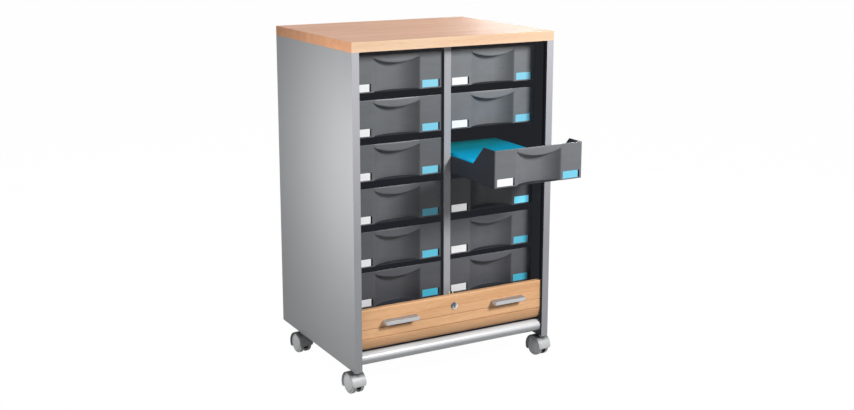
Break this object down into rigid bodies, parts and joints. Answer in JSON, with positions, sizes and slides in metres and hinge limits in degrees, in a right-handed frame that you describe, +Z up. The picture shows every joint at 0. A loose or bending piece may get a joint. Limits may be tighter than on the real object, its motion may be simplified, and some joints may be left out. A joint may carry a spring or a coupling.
{
  "type": "classroom tray storage unit",
  "caption": "Two-column cabinet on castors with pull-out moulded trays and a slatted roll curtain with bar handles and a cylinder lock.",
  "frame": {"origin": "on the floor under the centre of the part's box", "axes": "X to the right seen from the open front, the front faces -Y, Z up"},
  "size_m": [0.6828, 0.7105, 0.997],
  "materials": {
    "beech_laminate": "smooth beech-effect laminate, satin",
    "grey_laminate": "silver grey melamine, satin",
    "dark_laminate": "dark grey melamine, matt",
    "beech_slat": "beech-effect foil on slats, satin",
    "tray_plastic": "dark grey moulded plastic, fine texture",
    "white_card": "smooth white card",
    "blue_card": "smooth cyan card",
    "folder_card": "pressed blue card with paper",
    "aluminium_edge": "satin anodised",
    "tube_steel": "silver powder coat, gloss",
    "handle_metal": "satin nickel",
    "lock_chrome": "polished",
    "zinc": "bright zinc plate",
    "castor_plastic": "light grey moulded plastic, satin",
    "wheel_plastic": "grey moulded plastic, satin",
    "dark_plastic": "dark grey moulded plastic",
    "backing_fabric": "woven backing cloth",
    "dowel_wood": "fluted beech dowels"
  },
  "bodies": {
    "cabinet": {"top_panel": "beech_laminate", "left_side_panel": "grey_laminate", "right_side_panel": "grey_laminate", "back_panel": "grey_laminate", "inner_back": "dark_laminate", "bay_floor": "dark_laminate", "bottom_board": "dark_laminate", "divider": "dark_laminate", "divider_edging": "aluminium_edge", "cross_tube": "tube_steel", "curtain_tracks": "dark_plastic", "stored_slats": "beech_slat", "stored_backing": "backing_fabric", "tray_runners": "dark_plastic", "runner_screws": "zinc", "top_stops": "dark_plastic", "panel_dowels": "dowel_wood", "castor_stems": "zinc"},
    "curtain": {"lead_rail": "beech_slat", "follower_slat": "beech_slat", "curtain_backing": "backing_fabric", "bar_handles": "handle_metal", "handle_screws": "zinc", "lock_barrel": "lock_chrome", "bolt_guide": "zinc"},
    "lock_cylinder": {"lock_core": "lock_chrome"},
    "lock_tongue": {"lock_bolt": "zinc"},
    "tray_left_1": {"tray_left_1": "tray_plastic", "labels_left_1": "white_card"},
    "tray_left_2": {"tray_left_2": "tray_plastic", "labels_left_2": "white_card"},
    "tray_left_3": {"tray_left_3": "tray_plastic", "labels_left_3": "white_card"},
    "tray_left_4": {"tray_left_4": "tray_plastic", "labels_left_4": "white_card"},
    "tray_left_5": {"tray_left_5": "tray_plastic", "labels_left_5": "white_card"},
    "tray_left_6": {"tray_left_6": "tray_plastic", "labels_left_6": "white_card"},
    "tray_right_1": {"tray_right_1": "tray_plastic", "labels_right_1": "white_card"},
    "tray_right_2": {"tray_right_2": "tray_plastic", "labels_right_2": "white_card"},
    "tray_right_3": {"tray_right_3": "tray_plastic", "labels_right_3": "white_card", "blue_folders": "folder_card"},
    "tray_right_4": {"tray_right_4": "tray_plastic", "labels_right_4": "white_card"},
    "tray_right_5": {"tray_right_5": "tray_plastic", "labels_right_5": "white_card"},
    "tray_right_6": {"tray_right_6": "tray_plastic", "labels_right_6": "white_card"},
    "swivel_front_left": {"castor_hood_front_left": "castor_plastic"},
    "wheels_front_left": {"castor_wheels_front_left": "wheel_plastic"},
    "swivel_front_right": {"castor_hood_front_right": "castor_plastic"},
    "wheels_front_right": {"castor_wheels_front_right": "wheel_plastic"},
    "swivel_rear_left": {"castor_hood_rear_left": "castor_plastic"},
    "wheels_rear_left": {"castor_wheels_rear_left": "wheel_plastic"},
    "swivel_rear_right": {"castor_hood_rear_right": "castor_plastic"},
    "wheels_rear_right": {"castor_wheels_rear_right": "wheel_plastic"}
  },
  "joints": [
    {"name": "curtain_lift", "type": "slide", "parent": "cabinet", "child": "curtain", "axis": [0, 0, 1], "range_m": [0, 0.344]},
    {"name": "key_turn", "type": "hinge", "parent": "curtain", "child": "lock_cylinder", "pos_m": [0, -0.16075, 0.212], "axis": [0, 1, 0], "range_deg": [0, 90]},
    {"name": "bolt_slide", "type": "slide", "parent": "curtain", "child": "lock_tongue", "axis": [0, 0, 1], "range_m": [-0.00566, 0]},
    {"name": "tray_left_1_slide", "type": "slide", "parent": "cabinet", "child": "tray_left_1", "axis": [0, 1, 0], "range_m": [-0.3, 0]},
    {"name": "tray_left_2_slide", "type": "slide", "parent": "cabinet", "child": "tray_left_2", "axis": [0, 1, 0], "range_m": [-0.3, 0]},
    {"name": "tray_left_3_slide", "type": "slide", "parent": "cabinet", "child": "tray_left_3", "axis": [0, 1, 0], "range_m": [-0.3, 0]},
    {"name": "tray_left_4_slide", "type": "slide", "parent": "cabinet", "child": "tray_left_4", "axis": [0, 1, 0], "range_m": [-0.3, 0]},
    {"name": "tray_left_5_slide", "type": "slide", "parent": "cabinet", "child": "tray_left_5", "axis": [0, 1, 0], "range_m": [-0.3, 0]},
    {"name": "tray_left_6_slide", "type": "slide", "parent": "cabinet", "child": "tray_left_6", "axis": [0, 1, 0], "range_m": [-0.036, 0]},
    {"name": "tray_right_1_slide", "type": "slide", "parent": "cabinet", "child": "tray_right_1", "axis": [0, 1, 0], "range_m": [-0.3, 0]},
    {"name": "tray_right_2_slide", "type": "slide", "parent": "cabinet", "child": "tray_right_2", "axis": [0, 1, 0], "range_m": [-0.3, 0]},
    {"name": "tray_right_3_slide", "type": "slide", "parent": "cabinet", "child": "tray_right_3", "axis": [0, 1, 0], "range_m": [-0.055, 0.245]},
    {"name": "tray_right_4_slide", "type": "slide", "parent": "cabinet", "child": "tray_right_4", "axis": [0, 1, 0], "range_m": [-0.3, 0]},
    {"name": "tray_right_5_slide", "type": "slide", "parent": "cabinet", "child": "tray_right_5", "axis": [0, 1, 0], "range_m": [-0.3, 0]},
    {"name": "tray_right_6_slide", "type": "slide", "parent": "cabinet", "child": "tray_right_6", "axis": [0, 1, 0], "range_m": [-0.036, 0]},
    {"name": "swivel_front_left", "type": "hinge", "parent": "cabinet", "child": "swivel_front_left", "pos_m": [-0.314, -0.15475, 0.067], "axis": [0, 0, 1], "continuous": true},
    {"name": "roll_front_left", "type": "hinge", "parent": "swivel_front_left", "child": "wheels_front_left", "pos_m": [-0.31517, -0.13879, 0.03], "axis": [0.9973, 0.0732, 0], "continuous": true},
    {"name": "swivel_front_right", "type": "hinge", "parent": "cabinet", "child": "swivel_front_right", "pos_m": [0.314, -0.15475, 0.067], "axis": [0, 0, 1], "continuous": true},
    {"name": "roll_front_right", "type": "hinge", "parent": "swivel_front_right", "child": "wheels_front_right", "pos_m": [0.31238, -0.13883, 0.03], "axis": [0.9949, 0.1011, 0], "continuous": true},
    {"name": "swivel_rear_left", "type": "hinge", "parent": "cabinet", "child": "swivel_rear_left", "pos_m": [-0.314, 0.21725, 0.067], "axis": [0, 0, 1], "continuous": true},
    {"name": "roll_rear_left", "type": "hinge", "parent": "swivel_rear_left", "child": "wheels_rear_left", "pos_m": [-0.31567, 0.23316, 0.03], "axis": [0.9945, 0.1045, 0], "continuous": true},
    {"name": "swivel_rear_right", "type": "hinge", "parent": "cabinet", "child": "swivel_rear_right", "pos_m": [0.314, 0.21725, 0.067], "axis": [0, 0, 1], "continuous": true},
    {"name": "roll_rear_right", "type": "hinge", "parent": "swivel_rear_right", "child": "wheels_rear_right", "pos_m": [0.31567, 0.23316, 0.03], "axis": [0.9945, -0.1045, 0], "continuous": true}
  ],
  "couplings": [
    {"joint": "bolt_slide", "follows": "key_turn", "m_per_rad": -0.0036013}
  ]
}
